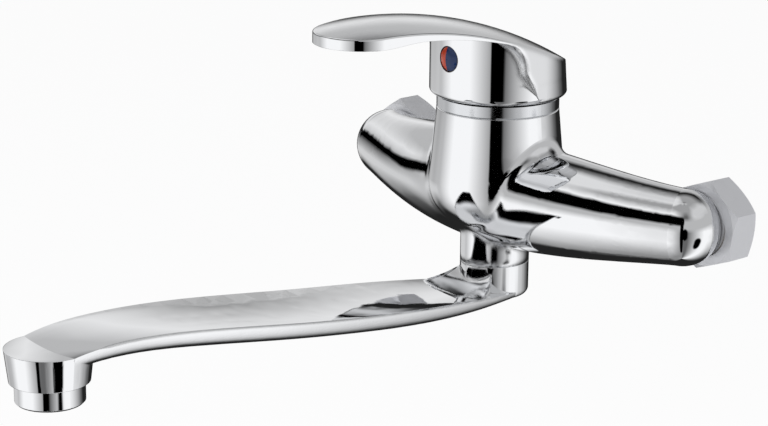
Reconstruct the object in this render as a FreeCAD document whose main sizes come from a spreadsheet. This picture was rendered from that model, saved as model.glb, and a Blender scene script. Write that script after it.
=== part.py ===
import FreeCAD, Part
import math
import os

import Sketcher
from FreeCAD import Rotation, Vector

# Wall-mounted single-lever kitchen mixer, in millimetres.
# Origin: midway between the two inlets, on their height and in the plane of the nuts' wall-side faces.
# X points right as seen by the user, Y into the wall, Z up. The lever and the spout point to -Y.

SIZES = {
    # clearances
    "fit_gap": 0.05,
    "running_gap": 0.08,
    "guide_gap": 0.3,
    "seat_gap": 0.5,
    # inlets and union nuts, G 1/2
    "inlet_centres": 150.0,
    "column_reach": 33.0,
    "nut_flats": 27.0,
    "nut_length": 11.0,
    "nut_chamfer": 1.2,
    "nut_shoulder": 2.2,
    "left_nut_turn": -5.0,
    "right_nut_turn": 9.0,
    "union_thread_radius": 9.32,
    "union_relief": 0.4,
    "union_mouth_chamfer": 0.8,
    "nipple_radius": 7.2,
    "nipple_bore": 4.8,
    "nipple_flange_radius": 9.0,
    "nipple_flange": 1.6,
    "nipple_engagement": 8.0,
    "hex_key_flats": 10.0,
    "hex_key_depth": 6.0,
    "union_washer": 1.6,
    "union_washer_bore": 5.5,
    # body casting
    "arm_root_radius": 18.6,
    "arm_end_radius": 12.8,
    "arm_root_offset": 1.7,
    "arm_sweep": 14.0,
    "arm_end_inset": 2.4,
    "nut_room": 0.6,
    "column_top_height": 30.2,
    "column_top_radius": 21.05,
    "column_foot_height": 5.0,
    "column_foot_radius": 23.5,
    "bowl_round": 15.0,
    "casting_fillet": 6.0,
    "boss_radius": 12.0,
    "boss_bottom_depth": 24.3,
    "boss_fillet": 0.8,
    "seam_chamfer": 0.3,
    "waterway_inner_radius": 4.5,
    "waterway_outer_radius": 5.5,
    "waterway_inner_reach": 4.6,
    "waterway_inner_depth": 2.5,
    # cartridge and its chamber
    "chamber_floor_height": 5.0,
    "chamber_radius": 17.6,
    "chamber_thread_radius": 19.0,
    "inlet_port_radius": 2.6,
    "inlet_port_spread": 5.6,
    "inlet_port_front": 4.2,
    "outlet_port_radius": 3.0,
    "outlet_port_back": 4.2,
    "base_flange": 3.0,
    "base_spigot": 1.0,
    "seal_wall": 1.2,
    "seal_depth": 1.6,
    "housing_radius": 17.4,
    "housing_wall": 2.1,
    "housing_neck_radius": 14.2,
    "housing_neck_wall": 1.7,
    "housing_top_height": 35.8,
    "fixed_disc_thickness": 3.0,
    "moving_disc_radius": 10.4,
    "moving_disc_thickness": 3.0,
    "mixing_recess_radius": 4.9,
    "mixing_recess_back": 3.8,
    "mixing_recess_depth": 1.6,
    "carrier_thickness": 3.5,
    "turret_flange": 2.6,
    "turret_top_height": 35.3,
    "pivot_height": 27.3,
    "pin_radius": 1.5,
    "stem_width": 8.0,
    "stem_depth": 6.0,
    "blade_depth": 5.4,
    "blade_drop": 3.4,
    "shank_radius": 1.9,
    "ball_radius": 2.4,
    "stem_top_height": 51.2,
    "slot_front": 7.0,
    "slot_back": 8.2,
    # retaining nut and cover ring
    "collar_height": 3.8,
    "collar_flats": 31.0,
    "ring_band_height": 4.0,
    "ring_crown_height": 5.2,
    "ring_crown_radius": 19.4,
    "ring_crown_round": 2.4,
    "ring_top_wall": 1.0,
    # handle
    "skirt_bottom_height": 35.0,
    "skirt_radius": 23.6,
    "skirt_edge_round": 1.8,
    "skirt_inner_radius": 21.9,
    "cavity_height": 8.6,
    "cavity_chamfer": 2.5,
    "lever_reach": 77.7,
    "lever_tip_radius": 15.8,
    "lever_flank_angle": 10.2,
    "lever_shoulder_round": 65.0,
    "lever_top_height": 66.65,
    "lever_top_radius": 140.0,
    "lever_crown_radius": 73.0,
    "lever_crest_reach": 52.0,
    "lever_thickness": 4.8,
    "lever_tip_thickness": 6.2,
    "lever_tip_length": 10.0,
    "lever_tip_blend": 19.0,
    "lever_web_foot": 1.0,
    "lever_web_front": 10.0,
    "lever_web_height": 9.0,
    "lever_web_round": 12.0,
    "lever_web_slant": 15.0,
    "cap_lean": 7.0,
    "lever_edge_round": 0.6,
    "socket_gap": 0.1,
    "indicator_radius": 4.4,
    "indicator_seat": 19.6,
    "indicator_rim": 22.9,
    "indicator_dome": 1.2,
    "grub_drop": 1.7,
    "grub_radius": 2.0,
    "grub_length": 9.0,
    "grub_key_flats": 2.0,
    "grub_key_depth": 2.5,
    # spout and its swivel
    "hub_edge_depth": 34.0,
    "hub_edge_round": 2.5,
    "spigot_radius": 8.4,
    "spigot_length": 15.0,
    "spigot_bore": 5.4,
    "o_ring_section": 0.9,
    "o_ring_first": 2.4,
    "o_ring_pitch": 3.6,
    "lock_groove_height": 5.0,
    "lock_groove_width": 3.2,
    "lock_groove_depth": 1.5,
    "slide_ring_height": 2.4,
    "slide_ring_wall": 1.0,
    "slide_ring_rise": 0.4,
    "spout_screw_radius": 1.5,
    "spout_screw_point": 1.2,
    "spout_screw_angle": 45.0,
    "spout_screw_stand": 0.5,
    "spout_screw_key_flats": 1.5,
    "spout_screw_key_depth": 1.5,
    "spout_belly_angle": 15.0,
    "head_bottom_radius": 12.45,
    "head_bottom_depth": 27.3,
    "head_throat_depth": 21.6,
    "head_bore_wall": 2.2,
    "channel_wall": 1.5,
    "channel_start": 3.0,
    # aerator
    "aerator_radius": 10.8,
    "aerator_exposed": 6.8,
    "aerator_edge": 0.6,
    "aerator_wall": 1.6,
    "aerator_thread_radius": 10.3,
    "aerator_thread_length": 4.4,
    "aerator_lip": 0.8,
    "aerator_lip_width": 0.9,
    "aerator_washer": 1.2,
    "aerator_washer_width": 2.4,
    "insert_height": 4.0,
    "insert_hole_radius": 0.8,
    "insert_hole_pitch": 2.5,
}

# The spout is drawn through cross sections. Each has its reach from the column axis, its half width,
# the height of its rim, the radius of its rounded side and the dip of its top between the rims.
SPOUT_STATIONS = {
    "root": (0.0, 11.8, -34.0, 2.5, 0.4),
    "shoulder": (16.0, 14.9, -32.4, 4.5, 1.0),
    "first": (40.0, 17.8, -29.5, 6.8, 2.0),
    "second": (76.0, 19.4, -25.4, 7.0, 2.4),
    "third": (106.0, 19.2, -21.3, 7.0, 2.4),
    "fourth": (136.0, 17.2, -17.3, 6.8, 2.0),
    "fifth": (160.0, 15.2, -15.4, 6.2, 1.5),
    "tip": (184.7, 13.7, -17.0, 5.5, 1.0),
}
# The flare that leads from the hub down into the arm's trough, in the same terms.
FLARE_STATIONS = {
    "flare_top": (9.0, 7.7, -26.8, 6.0, 0.3),
    "flare_upper": (13.0, 12.0, -30.2, 5.0, 0.5),
    "flare_lower": (17.5, 14.3, -31.7, 3.5, 0.8),
    "flare_foot": (23.0, 15.2, -32.2, 3.0, 1.0),
}
STATION_FIELDS = ("reach", "half", "rim", "side", "dip")


class Size:
    """A length that carries its number and the sheet formula that gives it."""

    def __init__(self, value, formula):
        self.value = float(value)
        self.formula = formula

    def __add__(self, other):
        other = as_size(other)
        return Size(self.value + other.value, f"({self.formula} + {other.formula})")

    def __sub__(self, other):
        other = as_size(other)
        return Size(self.value - other.value, f"({self.formula} - {other.formula})")

    def __mul__(self, other):
        other = as_size(other)
        return Size(self.value * other.value, f"({self.formula} * {other.formula})")

    def __truediv__(self, other):
        other = as_size(other)
        return Size(self.value / other.value, f"({self.formula} / {other.formula})")

    def __rsub__(self, other):
        return as_size(other) - self

    def __neg__(self):
        return Size(-self.value, f"(-{self.formula})")


def as_size(number):
    """Turns a plain number into a Size; a Size stays as it is."""
    if isinstance(number, Size):
        return number
    text = f"{float(number):.10g}"
    return Size(number, f"({text})" if number < 0 else text)


def square_root(size):
    return Size(math.sqrt(size.value), f"sqrt({size.formula})")


def sine(angle):
    return Size(math.sin(math.radians(angle.value)), f"sin({angle.formula})")


def cosine(angle):
    return Size(math.cos(math.radians(angle.value)), f"cos({angle.formula})")


def tangent(angle):
    return Size(math.tan(math.radians(angle.value)), f"tan({angle.formula})")


def slope_angle(rise, run):
    """The angle in degrees of a slope."""
    ratio = rise / run
    return Size(math.degrees(math.atan(ratio.value)), f"atan({ratio.formula})")


class Sheet:
    """The driving dimensions: a spreadsheet whose aliases are read as Size attributes."""

    def __init__(self, document, sizes):
        self.sizes = dict(sizes)
        cells = document.addObject("Spreadsheet::Sheet", "sizes")
        for row, (alias, number) in enumerate(self.sizes.items(), start=1):
            cells.set(f"A{row}", alias)
            cells.set(f"B{row}", f"{number:g}")
            cells.setAlias(f"B{row}", alias)

    def __getattr__(self, alias):
        return Size(self.sizes[alias], f"sizes.{alias}")


def station_sizes():
    """The spout's stations as entries of the sheet."""
    return {f"{name}_{field}": number
            for name, numbers in {**SPOUT_STATIONS, **FLARE_STATIONS}.items()
            for field, number in zip(STATION_FIELDS, numbers)}


doc = FreeCAD.newDocument("kitchen_mixer")
S = Sheet(doc, {**SIZES, **station_sizes()})
doc.recompute()

ZERO = as_size(0)
MADE = []

# Heights and places that several pieces share.
half_centres = S.inlet_centres / 2
column_y = -S.column_reach
neck_end = S.nut_length + S.seat_gap
nut_seat = S.nut_length - S.nut_shoulder
flange_face = nut_seat - S.nipple_flange
washer_face = S.union_washer - flange_face
base_top = S.chamber_floor_height + S.base_flange
fixed_disc_floor = base_top + S.base_spigot
moving_disc_floor = fixed_disc_floor + S.fixed_disc_thickness + S.fit_gap
carrier_floor = moving_disc_floor + S.moving_disc_thickness
carrier_top = carrier_floor + S.carrier_thickness
turret_floor = carrier_top + S.guide_gap
turret_shoulder = turret_floor + S.turret_flange
housing_ceiling = turret_shoulder + S.running_gap
housing_shoulder = housing_ceiling + S.housing_wall
housing_inner_radius = S.housing_radius - S.housing_wall
neck_inner_radius = S.housing_neck_radius - S.housing_neck_wall
ball_height = carrier_floor + S.ball_radius + S.guide_gap
collar_top = S.column_top_height + S.collar_height
cavity_top = S.skirt_bottom_height + S.cavity_height
indicator_height = S.stem_top_height - S.grub_drop
boss_bottom = -S.boss_bottom_depth
spigot_top = boss_bottom + S.spigot_length
lock_height = boss_bottom + S.lock_groove_height
hub_top = boss_bottom - S.running_gap
bore_radius = S.spigot_radius + S.running_gap
o_ring_radius = bore_radius - S.fit_gap - S.o_ring_section
head_bottom = -S.head_bottom_depth
aerator_bottom = head_bottom - S.aerator_exposed
aerator_top = head_bottom + S.aerator_thread_length
aerator_inner_radius = S.aerator_thread_radius - S.aerator_wall
SIDES = ((-1, "left"), (1, "right"))


def new_body(label, x=ZERO, y=ZERO, z=ZERO, turn=None, axis=Vector(0, 0, 1)):
    """A body placed at x, y, z and turned about an axis through that point."""
    body = doc.addObject("PartDesign::Body", label)
    body.Label = label
    place(body, x, y, z, turn, axis)
    MADE.append(body)
    return body


def place(target, x, y, z, turn=None, axis=Vector(0, 0, 1)):
    angle = turn.value if turn is not None else 0
    target.Placement = FreeCAD.Placement(Vector(x.value, y.value, z.value), Rotation(axis, angle))
    for name, size in (("x", x), ("y", y), ("z", z)):
        if size is not ZERO:
            target.setExpression(f"Placement.Base.{name}", size.formula)
    if turn is not None:
        target.setExpression("Placement.Rotation.Angle", turn.formula)


def new_sketch(body, name, plane, offset=(ZERO, ZERO, ZERO), tilt=None, about=Vector(0, 1, 0)):
    """A sketch on one of the body's origin planes, moved and tilted in its own directions."""
    sketch = body.newObject("Sketcher::SketchObject", name)
    support = [item for item in body.Origin.OriginFeatures if item.Role == plane][0]
    sketch.AttachmentSupport = [(support, "")]
    sketch.MapMode = "FlatFace"
    angle = tilt.value if tilt is not None else 0
    base = Vector(*[part.value for part in offset])
    sketch.AttachmentOffset = FreeCAD.Placement(base, Rotation(about, angle))
    for axis, part in zip("xyz", offset):
        if part is not ZERO:
            sketch.setExpression(f"AttachmentOffset.Base.{axis}", part.formula)
    if tilt is not None:
        sketch.setExpression("AttachmentOffset.Rotation.Angle", tilt.formula)
    return sketch


def pin_point(sketch, edge, point, x, y):
    """Fixes one point of an edge at x, y from the sketch's origin."""
    for kind, size in (("DistanceX", x), ("DistanceY", y)):
        number = sketch.addConstraint(Sketcher.Constraint(kind, -1, 1, edge, point, size.value))
        if size is not ZERO:
            sketch.setExpression(f"Constraints[{number}]", size.formula)


def arc_between(start, end, radius):
    """An arc of less than half a circle; a radius above zero turns left, below zero right."""
    chord = end - start
    side = Vector(-chord.y, chord.x, 0).normalize()
    reach = math.sqrt(radius ** 2 - (chord.Length / 2) ** 2)
    centre = start + chord * 0.5 + side * math.copysign(reach, radius)
    first, last = (start, end) if radius > 0 else (end, start)
    angles = [math.atan2(point.y - centre.y, point.x - centre.x) for point in (first, last)]
    return Part.ArcOfCircle(Part.Circle(centre, Vector(0, 0, 1), abs(radius)), angles[0], angles[1])


def outline(sketch, corners):
    """A closed outline. A corner is (x, y), or (x, y, radius) where the edge that leaves it is an arc."""
    corners = [tuple(as_size(part) for part in corner) for corner in corners]
    points = [Vector(corner[0].value, corner[1].value, 0) for corner in corners]
    ends = []
    for index, corner in enumerate(corners):
        start, end = points[index], points[(index + 1) % len(points)]
        if len(corner) == 2:
            edge = sketch.addGeometry(Part.LineSegment(start, end), False)
            ends.append((edge, 1, 2))
        else:
            edge = sketch.addGeometry(arc_between(start, end, corner[2].value), False)
            ends.append((edge, 1, 2) if corner[2].value > 0 else (edge, 2, 1))
    for index, corner in enumerate(corners):
        edge, first, _ = ends[index]
        before, _, last = ends[index - 1]
        sketch.addConstraint(Sketcher.Constraint("Coincident", before, last, edge, first))
        pin_point(sketch, edge, first, corner[0], corner[1])
        if len(corner) == 3:
            number = sketch.addConstraint(Sketcher.Constraint("Radius", edge, abs(corner[2].value)))
            sketch.setExpression(f"Constraints[{number}]", f"abs({corner[2].formula})")
    return sketch


def circle(sketch, x, y, radius):
    centre = Vector(x.value, y.value, 0)
    edge = sketch.addGeometry(Part.Circle(centre, Vector(0, 0, 1), radius.value), False)
    pin_point(sketch, edge, 3, x, y)
    number = sketch.addConstraint(Sketcher.Constraint("Radius", edge, radius.value))
    sketch.setExpression(f"Constraints[{number}]", radius.formula)
    return sketch


def rectangle(sketch, left, bottom, right, top):
    return outline(sketch, [(left, bottom), (right, bottom), (right, top), (left, top)])


def hexagon(sketch, flats, x=ZERO, y=ZERO):
    """A hexagon of that size across its flats, with a corner above its centre."""
    corner = flats / 3 ** 0.5
    half = flats / 2
    return outline(sketch, [(x, y + corner), (x - half, y + corner / 2), (x - half, y - corner / 2),
                            (x, y - corner), (x + half, y - corner / 2), (x + half, y + corner / 2)])


def feature(body, kind, name, profile, **settings):
    """Adds a feature on a sketch; a Size among the settings is bound to the sheet."""
    made = body.newObject(f"PartDesign::{kind}", name)
    if profile is not None:
        made.Profile = profile
    for key, setting in settings.items():
        if isinstance(setting, Size):
            setattr(made, key, setting.value)
            made.setExpression(key, setting.formula)
        else:
            setattr(made, key, setting)
    return made


def turned(body, name, plane, corners, kind="Revolution", offset=(ZERO, ZERO, ZERO), axis="V_Axis"):
    """Turns an outline about one of its sketch's axes."""
    sketch = outline(new_sketch(body, name + "_outline", plane, offset), corners)
    return feature(body, kind, name, sketch, ReferenceAxis=(sketch, [axis]), Angle=360.0)


def ring(body, name, plane, inner, outer, low, high, kind="Revolution", offset=(ZERO, ZERO, ZERO)):
    """A plain ring between two radii and two heights."""
    corners = [(inner, low), (outer, low), (outer, high), (inner, high)]
    return turned(body, name, plane, corners, kind, offset)


def dressed(body, kind, name, size_name, size, test):
    """A fillet or chamfer on those edges of the tip that pass the test."""
    doc.recompute()
    tip = body.Tip
    names = [f"Edge{number}" for number, edge in enumerate(tip.Shape.Edges, start=1)
             if not edge.Degenerated and test(edge)]
    made = body.newObject(f"PartDesign::{kind}", name)
    made.Base = (tip, names)
    setattr(made, size_name, size.value)
    made.setExpression(size_name, size.formula)
    return made


def middle(edge):
    """The point halfway along an edge."""
    first, last = edge.ParameterRange
    return edge.valueAt((first + last) / 2)


def is_circle(edge, radius, height=None):
    """True for a level circle of that radius, at that height if one is given."""
    curve = edge.Curve
    if curve.TypeId != "Part::GeomCircle" or abs(curve.Radius - radius.value) > 0.001:
        return False
    return height is None or abs(curve.Center.z - height.value) < 0.001


def build_mixer_body():
    """The cast body: column, crescent of two arms, inlet necks and the boss that carries the spout."""
    body = new_body("mixer_body", y=column_y)
    # The column tapers, and ends below in a bowl that leaves the cone in one smooth line.
    lean = slope_angle(S.column_foot_radius - S.column_top_radius,
                       S.column_top_height - S.column_foot_height)
    bowl_edge = S.column_foot_radius - S.bowl_round * cosine(lean)
    bowl_bottom = S.column_foot_height - S.bowl_round * sine(lean) - S.bowl_round
    turned(body, "column", "XZ_Plane", [
        (ZERO, bowl_bottom),
        (bowl_edge, bowl_bottom, S.bowl_round),
        (S.column_foot_radius, S.column_foot_height),
        (S.column_top_radius, S.column_top_height),
        (ZERO, S.column_top_height)])
    # The two arms are one crescent: round sections that taper and fall back toward the wall.
    arm_half = half_centres - S.arm_end_inset
    arm_end_y = S.arm_root_offset + S.arm_sweep
    sections = []
    for number, share in enumerate((-1, -0.5, 0, 0.5, 1)):
        radius = S.arm_root_radius - (S.arm_root_radius - S.arm_end_radius) * abs(share) ** 1.5
        offset = (S.arm_root_offset + S.arm_sweep * share ** 2, ZERO, arm_half * share)
        tilt = slope_angle(S.arm_sweep * (2 * share), arm_half)
        sketch = new_sketch(body, f"arm_section_{number}", "YZ_Plane", offset, tilt)
        sections.append(circle(sketch, ZERO, ZERO, radius))
    feature(body, "AdditiveLoft", "arms", sections[0], Sections=sections[1:])

    def meets_column(edge):
        return edge.Curve.TypeId == "Part::GeomBSplineCurve" and abs(middle(edge).x) < S.column_foot_radius.value

    dressed(body, "Fillet", "casting_blend", "Radius", S.casting_fillet, meets_column)
    for side, name in SIDES:
        ball = feature(body, "AdditiveSphere", f"arm_end_{name}", None,
                       Radius=S.arm_end_radius + S.fit_gap)
        place(ball, arm_half * side, arm_end_y, ZERO)
        # A round spot face leaves the end of the ball as a flat neck, with room for the nut to turn.
        face = new_sketch(body, f"nut_room_circle_{name}", "XZ_Plane", (ZERO, ZERO, neck_end - S.column_reach))
        circle(face, half_centres * side, ZERO, S.nut_flats / 3 ** 0.5 + S.nut_room)
        feature(body, "Pocket", f"nut_room_{name}", face, Length=neck_end)
    boss = circle(new_sketch(body, "boss_circle", "XY_Plane", (ZERO, ZERO, boss_bottom)),
                  ZERO, ZERO, S.boss_radius)
    feature(body, "Pad", "boss", boss, Length=S.boss_bottom_depth)

    def meets_boss(edge):
        point = middle(edge)
        on_boss = abs(math.hypot(point.x, point.y) - S.boss_radius.value) < 0.05
        return on_boss and boss_bottom.value + 1 < point.z < 0 and edge.Curve.TypeId != "Part::GeomLine"

    dressed(body, "Fillet", "boss_blend", "Radius", S.boss_fillet, meets_boss)
    dressed(body, "Chamfer", "column_seam", "Size", S.seam_chamfer,
            lambda edge: is_circle(edge, S.column_top_radius, S.column_top_height))
    # Cartridge chamber with its thread relief, then the ports in its floor.
    turned(body, "chamber", "XZ_Plane", [
        (ZERO, S.chamber_floor_height),
        (S.chamber_radius, S.chamber_floor_height),
        (S.chamber_radius, housing_shoulder - S.running_gap),
        (S.chamber_thread_radius, housing_shoulder - S.running_gap),
        (S.chamber_thread_radius, S.column_top_height),
        (ZERO, S.column_top_height)], kind="Groove")
    floor = (ZERO, ZERO, S.chamber_floor_height)
    inlets = new_sketch(body, "inlet_port_circles", "XY_Plane", floor)
    for side, name in SIDES:
        circle(inlets, S.inlet_port_spread * side, -S.inlet_port_front, S.inlet_port_radius)
    feature(body, "Pocket", "inlet_ports", inlets, Length=S.chamber_floor_height + S.waterway_inner_depth)
    outlet = circle(new_sketch(body, "outlet_port_circle", "XY_Plane", floor),
                    ZERO, S.outlet_port_back, S.outlet_port_radius)
    feature(body, "Pocket", "outlet_port", outlet, Length=S.chamber_floor_height - spigot_top)
    # Each inlet: a threaded bore in the neck, then a waterway along the arm to the port.
    for side, name in SIDES:
        bore = new_sketch(body, f"inlet_bore_{name}_outline", "XY_Plane", (half_centres * side, ZERO, ZERO))
        mouth = S.column_reach - neck_end
        stop = mouth - S.nipple_engagement - S.seat_gap
        outline(bore, [(ZERO, mouth), (ZERO, arm_end_y), (S.nipple_bore, arm_end_y),
                       (S.nipple_bore, stop), (S.nipple_radius, stop), (S.nipple_radius, mouth)])
        feature(body, "Groove", f"inlet_bore_{name}", bore, ReferenceAxis=(bore, ["V_Axis"]), Angle=360.0)
        inner = new_sketch(body, f"waterway_inner_{name}", "YZ_Plane",
                           (ZERO, -S.waterway_inner_depth, S.waterway_inner_reach * side))
        outer = new_sketch(body, f"waterway_outer_{name}", "YZ_Plane",
                           (arm_end_y, ZERO, arm_half * side))
        circle(inner, ZERO, ZERO, S.waterway_inner_radius)
        circle(outer, ZERO, ZERO, S.waterway_outer_radius)
        feature(body, "SubtractiveLoft", f"waterway_{name}", inner, Sections=[outer])
    # Bore for the spout's spigot and the screw hole that opens into its groove.
    ring(body, "spigot_bore", "XZ_Plane", ZERO, bore_radius, boss_bottom, spigot_top + S.seat_gap, "Groove")
    hole = new_sketch(body, "spout_screw_circle", "XZ_Plane", tilt=S.spout_screw_angle + 90)
    circle(hole, ZERO, lock_height, S.spout_screw_radius)
    feature(body, "Pocket", "spout_screw_hole", hole, Length=S.boss_radius + 1, Reversed=True)


def build_inlet(side, name, nut_turn):
    """One inlet: the flanged nipple, the sealing washer and the union nut that turns on the nipple."""
    x = half_centres * side
    nipple = new_body(f"inlet_nipple_{name}", x=x)
    turned(nipple, "nipple", "XY_Plane", [
        (S.nipple_bore, -flange_face),
        (S.nipple_bore, -neck_end - S.nipple_engagement),
        (S.nipple_radius, -neck_end - S.nipple_engagement),
        (S.nipple_radius, -nut_seat),
        (S.nipple_flange_radius, -nut_seat),
        (S.nipple_flange_radius, -flange_face)])
    key = hexagon(new_sketch(nipple, "key_hexagon", "XZ_Plane", (ZERO, ZERO, flange_face)), S.hex_key_flats)
    feature(nipple, "Pocket", "key_socket", key, Length=S.hex_key_depth, Reversed=True)
    washer = new_body(f"union_washer_{name}", x=x)
    ring(washer, "washer", "XY_Plane", S.union_washer_bore, S.nipple_flange_radius, -flange_face, washer_face)
    nut = new_body(f"union_nut_{name}", x=x, turn=nut_turn, axis=Vector(0, 1, 0))
    feature(nut, "Pad", "hexagon_bar", hexagon(new_sketch(nut, "nut_hexagon", "XZ_Plane"), S.nut_flats),
            Length=S.nut_length)
    corner = S.nut_flats / 3 ** 0.5
    for end, start, inward in (("wall", ZERO, -S.nut_chamfer),
                               ("user", -S.nut_length, S.nut_chamfer)):
        turned(nut, f"{end}_chamfer", "XY_Plane", [
            (corner - S.nut_chamfer * 3 ** 0.5, start),
            (corner + 1, start),
            (corner + 1, start + inward),
            (corner, start + inward)], kind="Groove")
    turned(nut, "nut_bore", "XY_Plane", [
        (ZERO, ZERO),
        (S.union_thread_radius, ZERO),
        (S.union_thread_radius, washer_face),
        (S.union_thread_radius + S.union_relief, washer_face),
        (S.union_thread_radius + S.union_relief, -nut_seat),
        (S.nipple_radius + S.guide_gap, -nut_seat),
        (S.nipple_radius + S.guide_gap, -S.nut_length),
        (ZERO, -S.nut_length)], kind="Groove")
    dressed(nut, "Chamfer", "thread_mouth", "Size", S.union_mouth_chamfer,
            lambda edge: is_circle(edge, S.union_thread_radius) and abs(edge.Curve.Center.y) < 0.001)


def build_cartridge():
    """The cartridge: base with seals, ceramic discs, slide, turret with its pin, housing and stem."""
    base = new_body("cartridge_base", y=column_y)
    turned(base, "base_plate", "XZ_Plane", [
        (ZERO, S.chamber_floor_height),
        (S.housing_radius, S.chamber_floor_height),
        (S.housing_radius, base_top),
        (housing_inner_radius - S.fit_gap, base_top),
        (housing_inner_radius - S.fit_gap, fixed_disc_floor),
        (ZERO, fixed_disc_floor)])
    cut_ports(base, S.chamber_floor_height, S.base_flange + S.base_spigot)
    seats = new_sketch(base, "seal_seat_circles", "XY_Plane", (ZERO, ZERO, S.chamber_floor_height))
    seals = new_body("base_seals", y=column_y)
    rings = new_sketch(seals, "seal_circles", "XY_Plane", (ZERO, ZERO, S.chamber_floor_height))
    for x, y, radius in port_places():
        circle(seats, x, y, radius + S.seal_wall)
        circle(rings, x, y, radius)
        circle(rings, x, y, radius + S.seal_wall)
    feature(base, "Pocket", "seal_seats", seats, Length=S.seal_depth, Reversed=True)
    feature(seals, "Pad", "seals", rings, Length=S.seal_depth)

    fixed = new_body("fixed_disc", y=column_y)
    ring(fixed, "ceramic", "XZ_Plane", ZERO, housing_inner_radius - S.fit_gap,
         fixed_disc_floor, fixed_disc_floor + S.fixed_disc_thickness)
    cut_ports(fixed, fixed_disc_floor, S.fixed_disc_thickness)

    moving = new_body("moving_disc", y=column_y)
    ring(moving, "ceramic", "XZ_Plane", ZERO, S.moving_disc_radius, moving_disc_floor, carrier_floor)
    recess = new_sketch(moving, "recess_circle", "XY_Plane", (ZERO, ZERO, moving_disc_floor))
    circle(recess, ZERO, S.mixing_recess_back, S.mixing_recess_radius)
    feature(moving, "Pocket", "mixing_recess", recess, Length=S.mixing_recess_depth, Reversed=True)

    carrier = new_body("disc_carrier", y=column_y)
    ring(carrier, "slide", "XZ_Plane", S.ball_radius + S.guide_gap, S.moving_disc_radius,
         carrier_floor, carrier_top)

    turret = new_body("cartridge_turret", y=column_y)
    turned(turret, "turret", "XZ_Plane", [
        (ZERO, turret_floor),
        (housing_inner_radius - S.running_gap, turret_floor),
        (housing_inner_radius - S.running_gap, turret_shoulder),
        (neck_inner_radius - S.running_gap, turret_shoulder),
        (neck_inner_radius - S.running_gap, S.turret_top_height),
        (ZERO, S.turret_top_height)])
    slot_half = S.stem_width / 2 + S.guide_gap
    slot = rectangle(new_sketch(turret, "slot_outline", "XY_Plane", (ZERO, ZERO, turret_floor)),
                     -slot_half, -S.slot_front, slot_half, S.slot_back)
    feature(turret, "Pocket", "stem_slot", slot, Length=S.turret_top_height - turret_floor, Reversed=True)
    cross = circle(new_sketch(turret, "pin_circle", "YZ_Plane"), ZERO, S.pivot_height, S.pin_radius)
    feature(turret, "Pocket", "pin_hole", cross, Length=S.housing_neck_radius * 2, Midplane=True)

    pin = new_body("stem_pin", y=column_y, z=S.pivot_height)
    bar = circle(new_sketch(pin, "pin_circle", "YZ_Plane"), ZERO, ZERO, S.pin_radius)
    feature(pin, "Pad", "pin", bar, Length=(neck_inner_radius - S.guide_gap * 2) * 2, Midplane=True)

    housing = new_body("cartridge_housing", y=column_y)
    turned(housing, "housing", "XZ_Plane", [
        (housing_inner_radius, base_top),
        (S.housing_radius, base_top),
        (S.housing_radius, housing_shoulder),
        (S.housing_neck_radius, housing_shoulder),
        (S.housing_neck_radius, S.housing_top_height),
        (neck_inner_radius, S.housing_top_height),
        (neck_inner_radius, housing_ceiling),
        (housing_inner_radius, housing_ceiling)])

    stem = new_body("cartridge_stem", y=column_y)
    turned(stem, "shank_and_ball", "XZ_Plane", [
        (ZERO, ball_height - S.ball_radius, S.ball_radius),
        (S.ball_radius, ball_height, S.ball_radius),
        (S.shank_radius, ball_height + square_root(S.ball_radius * S.ball_radius
                                                   - S.shank_radius * S.shank_radius)),
        (S.shank_radius, S.pivot_height),
        (ZERO, S.pivot_height)])
    half_width = S.stem_width / 2
    blade = rectangle(new_sketch(stem, "blade_outline", "XY_Plane", (ZERO, ZERO, S.pivot_height - S.blade_drop)),
                      -half_width, -S.blade_depth / 2, half_width, S.blade_depth / 2)
    feature(stem, "Pad", "blade", blade, Length=S.turret_top_height - S.pivot_height + S.blade_drop)
    square = rectangle(new_sketch(stem, "square_outline", "XY_Plane", (ZERO, ZERO, S.turret_top_height)),
                       -half_width, -S.stem_depth / 2, half_width, S.stem_depth / 2)
    feature(stem, "Pad", "square", square, Length=S.stem_top_height - S.turret_top_height)
    eye = circle(new_sketch(stem, "eye_circle", "YZ_Plane"), ZERO, S.pivot_height,
                 S.pin_radius + S.running_gap)
    feature(stem, "Pocket", "eye", eye, Length=S.stem_width * 2, Midplane=True)


def port_places():
    """Centre and radius of the two inlets and the outlet, about the column axis."""
    inlets = [(S.inlet_port_spread * side, -S.inlet_port_front, S.inlet_port_radius) for side, _ in SIDES]
    return inlets + [(ZERO, S.outlet_port_back, S.outlet_port_radius)]


def cut_ports(body, floor, depth):
    sketch = new_sketch(body, "port_circles", "XY_Plane", (ZERO, ZERO, floor))
    for x, y, radius in port_places():
        circle(sketch, x, y, radius)
    feature(body, "Pocket", "ports", sketch, Length=depth, Reversed=True)


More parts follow.
